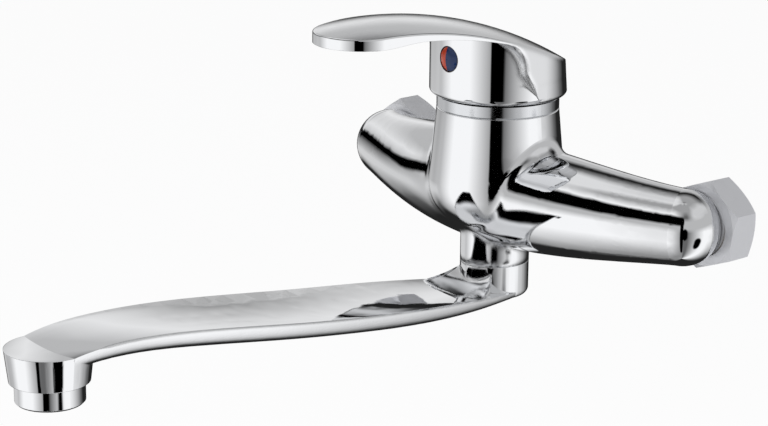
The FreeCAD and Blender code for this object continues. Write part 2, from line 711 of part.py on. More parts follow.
def build_column_top():
    """The nut that holds the cartridge down, and the cover ring that hides it."""
    nut = new_body("cartridge_nut", y=column_y)
    ring(nut, "thread", "XZ_Plane", ZERO, S.chamber_thread_radius - S.fit_gap,
         housing_shoulder, S.column_top_height)
    collar = hexagon(new_sketch(nut, "collar_hexagon", "XY_Plane", (ZERO, ZERO, S.column_top_height)),
                     S.collar_flats)
    feature(nut, "Pad", "collar", collar, Length=S.collar_height)
    ring(nut, "nut_bore", "XZ_Plane", ZERO, S.housing_neck_radius + S.fit_gap,
         housing_shoulder, collar_top, "Groove")

    cover = new_body("trim_ring", y=column_y)
    grip = S.collar_flats / 3 ** 0.5 + S.guide_gap
    bottom = S.column_top_height
    crown = bottom + S.ring_crown_height
    opening = S.housing_neck_radius + S.guide_gap
    turned(cover, "cover", "XZ_Plane", [
        (grip, bottom),
        (S.column_top_radius, bottom),
        (S.column_top_radius, bottom + S.ring_band_height, S.ring_crown_round),
        (S.ring_crown_radius, crown),
        (opening, crown),
        (opening, crown - S.ring_top_wall),
        (grip, crown - S.ring_top_wall)])
    dressed(cover, "Chamfer", "ring_seam", "Size", S.seam_chamfer,
            lambda edge: is_circle(edge, S.column_top_radius, S.column_top_height))


def lever_height(radius, y):
    """Height at y of the arc that the top of the lever follows, or of one concentric with it."""
    centre_z = S.lever_top_height - S.lever_top_radius
    run = y + S.lever_crest_reach
    return centre_z + square_root(radius * radius - run * run)


def crown_reach(x):
    """Distance of the lever's crowned top from the cross axis it is turned about, at x beside the middle."""
    return S.lever_top_radius - S.lever_crown_radius + square_root(S.lever_crown_radius * S.lever_crown_radius - x * x)


def build_handle():
    """The handle: a cap with the lever running out of it, one casting."""
    body = new_body("handle", y=column_y)
    high = S.lever_top_height + 4
    front = -S.lever_reach - 2
    # Plan view: cap and lever in one outline, whose flanks run tangent into the cap's sides.
    slant = S.lever_flank_angle
    tip_centre = S.lever_tip_radius - S.lever_reach
    tip_x = S.lever_tip_radius * cosine(slant)
    tip_y = tip_centre - S.lever_tip_radius * sine(slant)
    bend_centre_x = S.skirt_radius - S.lever_shoulder_round
    bend_y = tip_centre + (S.lever_shoulder_round + bend_centre_x * cosine(slant) - S.lever_tip_radius) / sine(slant)
    shoulder_x = bend_centre_x + S.lever_shoulder_round * cosine(slant)
    shoulder_y = bend_y - S.lever_shoulder_round * sine(slant)
    # The cap's rear leans forward: higher up it is an oval, drawn in at the back by the lean.
    meeting_across, meeting_back = 0.8, 0.6
    plans = []
    for name, height in (("lower", S.skirt_bottom_height), ("upper", high)):
        corner_shift = (height - S.skirt_bottom_height) * tangent(S.cap_lean) * 2
        corner_radius = S.skirt_radius - corner_shift
        corner_x = corner_shift + corner_radius * meeting_across
        corner_y = corner_radius * meeting_back
        plan = new_sketch(body, f"plan_{name}", "XY_Plane", (ZERO, ZERO, height))
        plans.append(outline(plan, [
            (S.skirt_radius, ZERO, corner_radius),
            (corner_x, corner_y, corner_radius + corner_shift / meeting_across),
            (-corner_x, corner_y, corner_radius),
            (-S.skirt_radius, ZERO),
            (-S.skirt_radius, bend_y, S.lever_shoulder_round),
            (-shoulder_x, shoulder_y),
            (-tip_x, tip_y, S.lever_tip_radius),
            (ZERO, -S.lever_reach, S.lever_tip_radius),
            (tip_x, tip_y),
            (shoulder_x, shoulder_y, S.lever_shoulder_round),
            (S.skirt_radius, bend_y)]))
    feature(body, "AdditiveLoft", "cap_and_lever", plans[0], Sections=plans[1:], Ruled=True)
    # Side view: what lies under the lever is cut away, up to the web where its flanks run down the cap.
    under_radius = S.lever_top_radius - S.lever_thickness
    below = S.skirt_bottom_height - 2
    web_top_y = -S.lever_web_front - S.lever_web_round * (1 - sine(S.lever_web_slant))
    web_top_z = lever_height(under_radius, web_top_y)
    tip_under = S.lever_top_height - S.lever_tip_thickness
    bulge_start = S.lever_tip_length - S.lever_reach
    bulge_end = bulge_start + S.lever_tip_blend
    bulge_end_z = lever_height(under_radius, bulge_end)
    rise = bulge_end_z - tip_under
    bend = (S.lever_tip_blend * S.lever_tip_blend + rise * rise) / (rise * 4)
    under = new_sketch(body, "under_outline", "YZ_Plane")
    outline(under, [
        (front, below),
        (-S.lever_web_foot, below),
        (-S.lever_web_front, web_top_z - S.lever_web_round * cosine(S.lever_web_slant), S.lever_web_round),
        (web_top_y, web_top_z, under_radius),
        (bulge_end, bulge_end_z, bend),
        ((bulge_start + bulge_end) / 2, (tip_under + bulge_end_z) / 2, -bend),
        (bulge_start, tip_under),
        (front, tip_under)])
    feature(body, "Pocket", "under_cut", under, Length=S.skirt_radius * 4, Midplane=True)
    front_round = outline(new_sketch(body, "cap_front_outline", "XZ_Plane"), [
        (ZERO, S.skirt_bottom_height),
        (S.skirt_radius, S.skirt_bottom_height),
        (S.skirt_radius, S.lever_top_height),
        (ZERO, S.lever_top_height)])
    feature(body, "Revolution", "cap_front", front_round, ReferenceAxis=(front_round, ["V_Axis"]),
            Angle=180.0, Reversed=True)
    # The top is one crowned face, turned about a cross axis far below the lever.
    crown = new_sketch(body, "crown_outline", "XZ_Plane",
                       (ZERO, S.lever_top_height - S.lever_top_radius, S.lever_crest_reach))
    crown_end = S.skirt_radius + 2
    crown_clear = S.lever_top_radius + S.skirt_radius * 2
    outline(crown, [
        (crown_end, crown_reach(crown_end), S.lever_crown_radius),
        (-crown_end, crown_reach(crown_end)),
        (-crown_end, crown_clear),
        (crown_end, crown_clear)])
    feature(body, "Groove", "top_cut", crown, ReferenceAxis=(crown, ["H_Axis"]), Angle=120.0, Midplane=True)
    # The skirt's lower edge is rounded all the way round.
    wide = S.skirt_radius * 2
    turned(body, "skirt_edge", "XZ_Plane", [
        (S.skirt_radius - S.skirt_edge_round, below),
        (wide, below),
        (wide, S.skirt_bottom_height + S.skirt_edge_round),
        (S.skirt_radius, S.skirt_bottom_height + S.skirt_edge_round, -S.skirt_edge_round),
        (S.skirt_radius - S.skirt_edge_round, S.skirt_bottom_height)], kind="Groove")

    def on_top(edge):
        point = middle(edge)
        top = lever_height(crown_reach(as_size(point.x)), as_size(point.y))
        return abs(point.z - top.value) < 0.01

    dressed(body, "Fillet", "top_edge", "Radius", S.lever_edge_round, on_top)
    # Inside: the cavity over the cover ring, the stem's socket, and the seats of grub screw and button.
    turned(body, "cavity", "XZ_Plane", [
        (ZERO, S.skirt_bottom_height),
        (S.skirt_inner_radius, S.skirt_bottom_height),
        (S.skirt_inner_radius, cavity_top - S.cavity_chamfer),
        (S.skirt_inner_radius - S.cavity_chamfer, cavity_top),
        (ZERO, cavity_top)], kind="Groove")
    socket_half = S.stem_width / 2 + S.socket_gap
    socket_deep = S.stem_depth / 2 + S.socket_gap
    socket = rectangle(new_sketch(body, "socket_outline", "XY_Plane", (ZERO, ZERO, cavity_top)),
                       -socket_half, -socket_deep, socket_half, socket_deep)
    feature(body, "Pocket", "socket", socket, Length=S.stem_top_height + S.socket_gap * 2 - cavity_top,
            Reversed=True)
    screw_hole = circle(new_sketch(body, "grub_circle", "XZ_Plane"),
                        ZERO, indicator_height, S.grub_radius + S.fit_gap)
    feature(body, "Pocket", "grub_hole", screw_hole, Length=S.skirt_radius, Reversed=True)
    seat = circle(new_sketch(body, "indicator_circle", "XZ_Plane", (ZERO, ZERO, S.indicator_seat)),
                  ZERO, indicator_height, S.indicator_radius + S.fit_gap)
    feature(body, "Pocket", "indicator_seat", seat, Length=S.skirt_radius, Reversed=True)

    button = new_body("indicator_button", y=column_y, z=indicator_height)
    dome = (S.indicator_radius * S.indicator_radius + S.indicator_dome * S.indicator_dome) / (S.indicator_dome * 2)
    turned(button, "button", "XY_Plane", [
        (ZERO, -S.indicator_rim - S.indicator_dome, dome),
        (S.indicator_radius, -S.indicator_rim),
        (S.indicator_radius, -S.indicator_seat),
        (ZERO, -S.indicator_seat)])
    grub = new_body("handle_screw", y=column_y, z=indicator_height)
    near = S.stem_depth / 2 + S.fit_gap
    turned(grub, "grub", "XY_Plane", [
        (ZERO, -near - S.grub_length),
        (S.grub_radius, -near - S.grub_length),
        (S.grub_radius, -near),
        (ZERO, -near)])
    grub_key = hexagon(new_sketch(grub, "key_hexagon", "XZ_Plane", (ZERO, ZERO, near + S.grub_length)),
                       S.grub_key_flats)
    feature(grub, "Pocket", "key_socket", grub_key, Length=S.grub_key_depth)


def section_corners(half, rim, side, dip):
    """Cross section of the spout: dipped top, sides rounded from the rim down, shallow belly."""
    slant = S.spout_belly_angle
    belly_half = half - side * (1 - sine(slant))
    belly_z = rim - side * cosine(slant)
    belly = belly_half / sine(slant)
    trough = (half * half + dip * dip) / (dip * 2)
    return [(-half, rim, side), (-belly_half, belly_z, belly), (belly_half, belly_z, side), (half, rim, -trough)]


def station_list(names):
    """Reach, half width, rim height, side radius and dip of each named station."""
    return [[getattr(S, f"{name}_{field}") for field in STATION_FIELDS] for name in names]


def build_spout():
    """The cast spout: spigot, hub, dished arm and turned-down head."""
    body = new_body("spout", y=column_y)
    stations = station_list(SPOUT_STATIONS)
    tip = stations[-1]
    for loft, names in (("arm", SPOUT_STATIONS), ("flare", FLARE_STATIONS)):
        sections = []
        for name, (reach, *shape) in zip(names, station_list(names)):
            sketch = new_sketch(body, f"section_{name}", "XZ_Plane", (ZERO, ZERO, reach))
            sections.append(outline(sketch, section_corners(*shape)))
        feature(body, "AdditiveLoft", loft, sections[0], Sections=sections[1:])
    # The hub closes the rear of the arm and carries the spigot; the head closes its front.
    slant = S.spout_belly_angle
    belly_half = S.boss_radius - S.hub_edge_round * (1 - sine(slant))
    belly_z = -S.hub_edge_depth - S.hub_edge_round * cosine(slant)
    belly_bottom = belly_z - belly_half * tangent(slant / 2)
    turned(body, "hub", "XZ_Plane", [
        (ZERO, belly_bottom, belly_half / sine(slant)),
        (belly_half, belly_z, S.hub_edge_round),
        (S.boss_radius, -S.hub_edge_depth),
        (S.boss_radius, hub_top),
        (ZERO, hub_top)])
    reach, half, rim, side, dip = tip
    turned(body, "head", "XZ_Plane", [
        (ZERO, head_bottom),
        (S.head_bottom_radius, head_bottom),
        (half, rim, -(half * half + dip * dip) / (dip * 2)),
        (ZERO, rim - dip)], offset=(ZERO, ZERO, reach))
    ring(body, "spigot", "XZ_Plane", ZERO, S.spigot_radius, hub_top - S.channel_wall, spigot_top)
    for name, inner, low, high in spigot_grooves():
        ring(body, f"{name}_groove", "XZ_Plane", inner, S.spigot_radius + 1, low, high, "Groove")
    # Waterway: down the spigot, along the arm as a flat channel, and out through the head.
    sections = []
    channel = [(S.channel_start, S.spigot_bore, *channel_heights(*stations[1]))]
    channel += [(station[0], station[1] - station[3], *channel_heights(*station)) for station in stations[1:]]
    for number, (reach, half, low, high) in enumerate(channel):
        sketch = new_sketch(body, f"channel_section_{number}", "XZ_Plane", (ZERO, ZERO, reach))
        side_arc = (high - low) * 0.6
        sections.append(outline(sketch, [(-half, high, side_arc), (-half, low),
                                         (half, low, side_arc), (half, high)]))
    feature(body, "SubtractiveLoft", "channel", sections[0], Sections=sections[1:])
    ring(body, "spigot_waterway", "XZ_Plane", ZERO, S.spigot_bore, channel[0][2], spigot_top, "Groove")
    head_axis = (ZERO, ZERO, tip[0])
    ring(body, "aerator_bore", "XZ_Plane", ZERO, S.aerator_thread_radius + S.fit_gap,
         head_bottom, -S.head_throat_depth, "Groove", head_axis)
    ring(body, "head_waterway", "XZ_Plane", ZERO, S.aerator_thread_radius - S.head_bore_wall,
         -S.head_throat_depth, channel[-1][3] - S.guide_gap, "Groove", head_axis)

    rings = new_body("spout_o_rings", y=column_y)
    for number, height in enumerate(o_ring_heights()):
        section = circle(new_sketch(rings, f"section_circle_{number}", "XZ_Plane"),
                         o_ring_radius, height, S.o_ring_section)
        feature(rings, "Revolution", f"o_ring_{number}", section, ReferenceAxis=(section, ["V_Axis"]), Angle=360.0)
    slide = new_body("spout_slide_ring", y=column_y)
    _, inner, low, high = spigot_grooves()[0]
    ring(slide, "slide_ring", "XZ_Plane", inner + S.fit_gap, bore_radius - S.fit_gap,
         low + S.fit_gap, high - S.fit_gap)


def channel_heights(reach, half, rim, side, dip):
    """Floor and ceiling of the channel, a wall's thickness inside the arm."""
    slant = S.spout_belly_angle
    belly_half = half - side * (1 - sine(slant))
    belly_bottom = rim - side * cosine(slant) - belly_half * tangent(slant / 2)
    return belly_bottom + S.channel_wall, rim - dip - S.channel_wall


def o_ring_heights():
    first = spigot_top - S.o_ring_first
    return first, first - S.o_ring_pitch


def spigot_grooves():
    """Name, inner radius, floor and ceiling of each groove on the spigot, from the hub upward."""
    slide_floor = boss_bottom + S.slide_ring_rise
    grooves = [("slide_ring", S.spigot_radius - S.slide_ring_wall, slide_floor, slide_floor + S.slide_ring_height),
               ("lock", S.spigot_radius - S.lock_groove_depth, lock_height - S.lock_groove_width / 2,
                lock_height + S.lock_groove_width / 2)]
    half = S.o_ring_section + S.guide_gap
    for number, height in enumerate(o_ring_heights()):
        grooves.append((f"o_ring_{number}", o_ring_radius - S.o_ring_section - S.fit_gap,
                        height - half, height + half))
    return grooves


def build_spout_screw():
    """The grub screw in the boss whose point runs in the spigot's groove."""
    screw = new_body("spout_screw", y=column_y, z=lock_height, turn=S.spout_screw_angle)
    inner = S.spigot_radius - S.lock_groove_depth + S.guide_gap
    outer = S.boss_radius + S.spout_screw_stand
    radius = S.spout_screw_radius - S.fit_gap
    step = S.spigot_radius + S.guide_gap
    edge = S.guide_gap
    turned(screw, "screw", "XZ_Plane", [
        (inner, ZERO),
        (outer, ZERO),
        (outer, radius - edge),
        (outer - edge, radius),
        (step, radius),
        (step, S.spout_screw_point),
        (inner, S.spout_screw_point)], axis="H_Axis")
    key = hexagon(new_sketch(screw, "key_hexagon", "YZ_Plane", (ZERO, ZERO, outer)), S.spout_screw_key_flats)
    feature(screw, "Pocket", "key_socket", key, Length=S.spout_screw_key_depth)


def build_aerator():
    """The aerator: screwed housing, sieve insert and sealing washer."""
    head_y = column_y - S.tip_reach
    housing = new_body("aerator_housing", y=head_y)
    turned(housing, "housing", "XZ_Plane", [
        (aerator_inner_radius - S.aerator_lip_width, aerator_bottom),
        (S.aerator_radius - S.aerator_edge, aerator_bottom),
        (S.aerator_radius, aerator_bottom + S.aerator_edge),
        (S.aerator_radius, head_bottom - S.fit_gap),
        (S.aerator_thread_radius, head_bottom - S.fit_gap),
        (S.aerator_thread_radius, aerator_top),
        (aerator_inner_radius, aerator_top),
        (aerator_inner_radius, aerator_bottom + S.aerator_lip),
        (aerator_inner_radius - S.aerator_lip_width, aerator_bottom + S.aerator_lip)])
    insert = new_body("aerator_insert", y=head_y)
    floor = aerator_bottom + S.aerator_lip
    ring(insert, "sieve", "XZ_Plane", ZERO, aerator_inner_radius - S.fit_gap, floor, floor + S.insert_height)
    holes = new_sketch(insert, "hole_circles", "XY_Plane", (ZERO, ZERO, floor))
    circle(holes, ZERO, ZERO, S.insert_hole_radius)
    for row in (1, 2):
        row_holes = 6 * row
        for number in range(row_holes):
            turn = as_size(360 * number / row_holes)
            circle(holes, S.insert_hole_pitch * row * cosine(turn), S.insert_hole_pitch * row * sine(turn),
                   S.insert_hole_radius)
    feature(insert, "Pocket", "holes", holes, Length=S.insert_height, Reversed=True)
    washer = new_body("aerator_washer", y=head_y)
    ring(washer, "washer", "XZ_Plane", S.aerator_thread_radius - S.aerator_washer_width, S.aerator_thread_radius,
         aerator_top, aerator_top + S.aerator_washer)


build_mixer_body()
build_inlet(-1, "left", S.left_nut_turn)
build_inlet(1, "right", S.right_nut_turn)
build_cartridge()
build_column_top()
build_handle()
build_spout()
build_spout_screw()
build_aerator()
doc.recompute()

failed = [item.Name for item in doc.Objects if {"Invalid", "Error"} & set(item.State)]
failed += [made.Label for made in MADE if made.Shape.isNull() or not made.Shape.isValid()]
if failed:
    raise RuntimeError("not built: " + ", ".join(failed))
os.makedirs("parts", exist_ok=True)
for made in MADE:
    made.Shape.exportStep(os.path.join("parts", made.Label + ".step"))
    print(made.Label, len(made.Shape.Solids), f"{made.Shape.Volume / 1000:.2f} cm3")
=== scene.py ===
"""Wall-mounted single-lever kitchen mixer: finishes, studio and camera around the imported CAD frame.

Every shape of the tap is a CAD node. This script gives each node its finish and sets up a white
studio with soft boxes and black cards, as chrome is photographed. Lengths are metres in the CAD
frame, with +Z up and the wall at +Y. Those that are meant in millimetres are multiplied by MM.
"""

import math

import bmesh
import bpy
from mathutils import Matrix, Vector


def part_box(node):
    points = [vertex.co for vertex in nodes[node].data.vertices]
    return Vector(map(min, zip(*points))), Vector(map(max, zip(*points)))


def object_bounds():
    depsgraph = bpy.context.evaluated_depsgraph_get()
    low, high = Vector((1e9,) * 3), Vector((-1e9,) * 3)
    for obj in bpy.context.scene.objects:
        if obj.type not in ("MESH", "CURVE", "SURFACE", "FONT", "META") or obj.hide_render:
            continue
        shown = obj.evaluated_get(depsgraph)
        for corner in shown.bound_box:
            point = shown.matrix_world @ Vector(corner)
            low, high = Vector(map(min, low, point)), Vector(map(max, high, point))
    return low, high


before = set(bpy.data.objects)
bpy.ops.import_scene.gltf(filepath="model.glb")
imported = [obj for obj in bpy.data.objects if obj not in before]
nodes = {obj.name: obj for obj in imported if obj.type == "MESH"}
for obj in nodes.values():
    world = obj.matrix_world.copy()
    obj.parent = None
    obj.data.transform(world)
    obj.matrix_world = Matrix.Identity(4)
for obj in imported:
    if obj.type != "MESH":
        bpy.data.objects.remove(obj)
cad_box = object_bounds()

MM = 0.001


# Helpers

def linear(code):
    """An sRGB hex colour as the linear RGBA that the shader takes."""
    parts = [int(code[i:i + 2], 16) / 255 for i in (1, 3, 5)]
    light = [p / 12.92 if p <= 0.04045 else ((p + 0.055) / 1.055) ** 2.4 for p in parts]
    return (*light, 1.0)


def plug(tree, node, inputs):
    """Fills a node's sockets, given by name or in order. Each takes a plain value, another node's
    output, or another node, which stands for its first output in use."""
    for socket, value in inputs.items() if isinstance(inputs, dict) else enumerate(inputs):
        if isinstance(value, bpy.types.Node):
            value = next(output for output in value.outputs if output.enabled)
        if isinstance(value, bpy.types.NodeSocket):
            tree.links.new(value, node.inputs[socket])
        else:
            node.inputs[socket].default_value = value


def add(tree, kind, inputs=(), **settings):
    """Adds a shader node, makes its settings and fills its sockets."""
    node = tree.nodes.new("ShaderNode" + kind)
    for field, value in settings.items():
        setattr(node, field, value)
    plug(tree, node, inputs)
    return node


def finish(name, colour, roughness, **sockets):
    """A material with its shader's own sockets set. Returns it with its tree and its shader."""
    material = bpy.data.materials.new(name)
    material.use_nodes = True
    tree = material.node_tree
    shader = tree.nodes["Principled BSDF"]
    plug(tree, shader, {"Base Color": linear(colour), "Roughness": roughness})
    plug(tree, shader, {socket.replace("_", " "): value for socket, value in sockets.items()})
    return material, tree, shader


def object_place(tree, squeeze=(1.0, 1.0, 1.0), centre=(0.0, 0.0, 0.0)):
    """The point in the piece's own metres, moved so that centre is at zero, and squeezed along
    each axis, which draws a pattern out along an axis with a small number."""
    here = add(tree, "TexCoord").outputs["Object"]
    moved = [-c * s for c, s in zip(centre, squeeze)]
    return add(tree, "Mapping", {"Vector": here, "Scale": squeeze, "Location": moved})


def blob(size):
    """Noise scale at which one blob is about this many millimetres across."""
    return 1 / (size * MM)


def inside(tree, low, high, soft):
    """1 within a box given by two corners in millimetres, falling to 0 over soft millimetres
    outside it."""
    centre = [(a + b) / 2 * MM for a, b in zip(low, high)]
    half = [(b - a) / 2 * MM for a, b in zip(low, high)]
    from_middle = add(tree, "VectorMath", [object_place(tree, centre=centre)], operation="ABSOLUTE")
    beyond = add(tree, "VectorMath", [from_middle, half], operation="SUBTRACT")
    outside = add(tree, "VectorMath", [beyond, (0.0, 0.0, 0.0)], operation="MAXIMUM")
    gap = add(tree, "VectorMath", [outside], operation="LENGTH")
    return add(tree, "MapRange", [gap, 0.0, soft * MM, 1.0, 0.0])


# Finishes. Sizes in them are millimetres.

POLISHED_EDGE = 0.25        # the rounding that polishing leaves on every edge
BLEND_SOFT = 4.0            # how far a blend's wider rounding fades out beyond its box
SPOUT_HALF_WIDTH = 12.0

# Boxes, as two corners and a radius, in which an edge in the solid is a soft blend on the real tap
ARM_ROOTS = ((-34, -60, -26), (34, -8, 2), 3.5)
SPOUT_SIDES = ((-20, -205, -40), (20, -45, -9), 2.0)
LEVER_WEB = ((-26, -46, 42), (26, -8, 57), 3.5)


def polished_chrome(name, ripple_size, ripple_depth, squeeze=(1.0, 1.0, 1.0), blend=None,
                    crown=0.0, brushed=False):
    """Bright chromium plate on a polished casting. It mirrors the room, and the slow ripple that
    the polishing wheel leaves in the metal bends the long reflections a little; wiping leaves it
    very slightly clouded. Polishing rounds the edges: a little everywhere, and by more within the
    box that blend gives. A crown is a swell across the spout's width. A brushed piece has a satin
    top, with fine lines along Y that spread a reflection, and keeps its bright sides."""
    material, tree, shader = finish(name, "#E9EAEC", 0.04, Metallic=1.0)
    cloud = add(tree, "TexNoise", {"Vector": object_place(tree), "Scale": blob(9.0), "Detail": 3.0})
    gloss = add(tree, "MapRange", [cloud, 0.3, 0.75, 0.01, 0.035])
    if brushed:
        along_lever = object_place(tree, (1.0, 0.02, 1.0))
        lines = add(tree, "TexNoise", {"Vector": along_lever, "Scale": blob(0.5)})
        satin = add(tree, "MapRange", [lines, 0.3, 0.7, 0.1, 0.2])
        normal = add(tree, "NewGeometry").outputs["Normal"]
        upward = add(tree, "SeparateXYZ", [normal]).outputs["Z"]
        on_top = add(tree, "MapRange", [upward, 0.8, 0.93, 0.0, 1.0])
        gloss = add(tree, "Mix", {"Factor": on_top, "A": gloss, "B": satin})

    surface = add(tree, "Bevel", {"Radius": POLISHED_EDGE * MM}, samples=8)
    if blend:
        low, high, radius = blend
        share = inside(tree, low, high, BLEND_SOFT)
        plug(tree, surface, {"Radius": add(tree, "MapRange", [share, 0.0, 1.0, POLISHED_EDGE * MM,
                                                              radius * MM])})
    if crown:
        across = add(tree, "SeparateXYZ", [object_place(tree)]).outputs["X"]
        share = add(tree, "Math", [across, 1 / (SPOUT_HALF_WIDTH * MM)], operation="MULTIPLY")
        fall = add(tree, "Math", [share, share], operation="MULTIPLY")
        surface = add(tree, "Bump", {"Height": fall, "Distance": -crown * MM, "Normal": surface})
    ripple = add(tree, "TexNoise", {"Vector": object_place(tree, squeeze),
                                    "Scale": blob(ripple_size), "Detail": 1.0})
    surface = add(tree, "Bump", {"Height": ripple, "Distance": ripple_depth * MM,
                                 "Normal": surface})
    plug(tree, shader, {"Roughness": gloss, "Normal": surface})
    return material


def satin_chrome():
    """Chromium plate over a turned, unpolished ring. The fine turning lines spread a reflection
    into a pale, even grey. They are 0.05 mm apart on the real ring and drawn at 0.35 mm, which is
    as fine as shows."""
    material, tree, shader = finish("satin_chrome_on_turned_brass", "#D6D8DB", 0.1, Metallic=1.0)
    turning_pitch = 0.35
    place = object_place(tree)
    height = add(tree, "SeparateXYZ", [place]).outputs["Z"]
    turns = add(tree, "Math", [height, 2 * math.pi / (turning_pitch * MM)], operation="MULTIPLY")
    lines = add(tree, "Math", [turns], operation="SINE")
    cloud = add(tree, "TexNoise", {"Vector": place, "Scale": blob(6.0)})
    plug(tree, shader, {"Roughness": add(tree, "MapRange", [cloud, 0.3, 0.7, 0.07, 0.14]),
                        "Normal": add(tree, "Bump", {"Height": lines, "Distance": 0.0015 * MM})})
    return material


def barrel_plated_nut():
    """Nickel-chrome plate on forged and machined nuts, plated in a barrel: paler and softer than
    the polished casting, with faint cloudy patches and small dings. The bore carries a half-inch
    pipe thread of 14 turns to the inch along Y."""
    material, tree, shader = finish("barrel_plated_brass_nut", "#DCDDE1", 0.4, Metallic=0.6)
    inlet_from_middle = 75
    bore, bore_end = 9.8, 10.4
    thread_pitch = 1.814
    thread_depth = 0.5

    place = object_place(tree)
    parts = add(tree, "SeparateXYZ", [place])
    x, y, z = (parts.outputs[axis] for axis in "XYZ")
    side = add(tree, "Math", [x], operation="ABSOLUTE")
    across = add(tree, "Math", [side, inlet_from_middle * MM], operation="SUBTRACT")
    from_axis = add(tree, "CombineXYZ", {"X": across, "Z": z})
    radius = add(tree, "VectorMath", [from_axis], operation="LENGTH")
    in_bore = add(tree, "MapRange", [radius, bore * MM, bore_end * MM, 1.0, 0.0])
    angle = add(tree, "Math", [z, across], operation="ARCTAN2")
    along = add(tree, "Math", [y, 2 * math.pi / (thread_pitch * MM)], operation="MULTIPLY")
    helix = add(tree, "Math", [along, angle], operation="ADD")
    ridge = add(tree, "Math", [helix], operation="SINE")
    thread = add(tree, "Math", [ridge, in_bore], operation="MULTIPLY")
    surface = add(tree, "Bump", {"Height": thread, "Distance": thread_depth * MM})

    dings = add(tree, "TexNoise", {"Vector": place, "Scale": blob(2.5), "Detail": 1.0})
    surface = add(tree, "Bump", {"Height": dings, "Distance": 0.004 * MM, "Normal": surface})
    cloud = add(tree, "TexNoise", {"Vector": place, "Scale": blob(4.0), "Detail": 4.0,
                                   "Roughness": 0.6})
    plug(tree, shader, {"Roughness": add(tree, "MapRange", [cloud, 0.3, 0.7, 0.36, 0.48]),
                        "Normal": surface})
    return material


def machined_brass():
    """Bare free-cutting brass straight from the lathe: warm yellow, with a little tarnish and fine
    tool marks across Y."""
    bare, dulled = "#C8A25A", "#8C6A35"
    material, tree, shader = finish("machined_brass", bare, 0.3, Metallic=1.0)
    tarnish = add(tree, "TexNoise", {"Vector": object_place(tree), "Scale": blob(5.0),
                                     "Detail": 4.0, "Roughness": 0.6})
    share = add(tree, "MapRange", [tarnish, 0.45, 0.8, 0.0, 0.7])
    marks = add(tree, "TexNoise", {"Vector": object_place(tree, (1.0, 6.0, 1.0)),
                                   "Scale": blob(0.8)})
    plug(tree, shader, {
        "Base Color": add(tree, "Mix", {"Factor": share, "A": linear(bare),
                                        "B": linear(dulled)}, data_type="RGBA"),
        "Normal": add(tree, "Bump", {"Height": marks, "Distance": 0.01 * MM})})
    return material


def stainless_steel():
    """Cold-headed stainless screws and a ground pin: grey and slightly brushed."""
    material, tree, shader = finish("stainless_steel", "#B4B6B8", 0.28, Metallic=1.0)
    place = object_place(tree, (1.0, 1.0, 5.0))
    brushing = add(tree, "TexNoise", {"Vector": place, "Scale": blob(1.2), "Detail": 3.0})
    grain = add(tree, "TexNoise", {"Vector": place, "Scale": blob(0.6)})
    plug(tree, shader, {"Roughness": add(tree, "MapRange", [brushing, 0.3, 0.7, 0.2, 0.4]),
                        "Normal": add(tree, "Bump", {"Height": grain, "Distance": 0.008 * MM})})
    return material


def epdm_rubber():
    """Moulded EPDM seals, dusted black: a soft sheen that breaks up in a fine grain."""
    material, tree, shader = finish("epdm_rubber", "#1D1D1E", 0.62, IOR=1.5)
    place = object_place(tree)
    dust = add(tree, "TexNoise", {"Vector": place, "Scale": blob(3.0)})
    grain = add(tree, "TexNoise", {"Vector": place, "Scale": blob(0.5)})
    plug(tree, shader, {"Roughness": add(tree, "MapRange", [dust, 0.3, 0.7, 0.5, 0.75]),
                        "Normal": add(tree, "Bump", {"Height": grain, "Distance": 0.02 * MM})})
    return material


def lapped_ceramic():
    """Sintered alumina discs lapped optically flat: warm white, faintly mottled, with a wet-looking
    gloss."""
    pale, darker = "#ECE8DD", "#DED8C8"
    material, tree, shader = finish("lapped_alumina", pale, 0.12, IOR=1.77)
    mottle = add(tree, "TexNoise", {"Vector": object_place(tree), "Scale": blob(1.5),
                                    "Detail": 4.0})
    share = add(tree, "MapRange", [mottle, 0.35, 0.65, 0.0, 1.0])
    plug(tree, shader, {"Base Color": add(tree, "Mix", {
        "Factor": share, "A": linear(pale), "B": linear(darker)}, data_type="RGBA")})
    return material


def moulded_plastic(name, colour, flow_colour, roughness, grain_size):
    """Injection-moulded engineering plastic: an even colour with faint flow marks, and a fine
    sparked grain in the skin that keeps its gloss low."""
    material, tree, shader = finish(name, colour, roughness, IOR=1.5)
    flow = add(tree, "TexNoise", {"Vector": object_place(tree, (1.0, 1.0, 0.35)),
                                  "Scale": blob(7.0)})
    share = add(tree, "MapRange", [flow, 0.4, 0.7, 0.0, 1.0])
    grain = add(tree, "TexNoise", {"Vector": object_place(tree), "Scale": blob(grain_size)})
    plug(tree, shader, {
        "Base Color": add(tree, "Mix", {"Factor": share, "A": linear(colour),
                                        "B": linear(flow_colour)}, data_type="RGBA"),
        "Normal": add(tree, "Bump", {"Height": grain, "Distance": 0.012 * MM})})
    return material


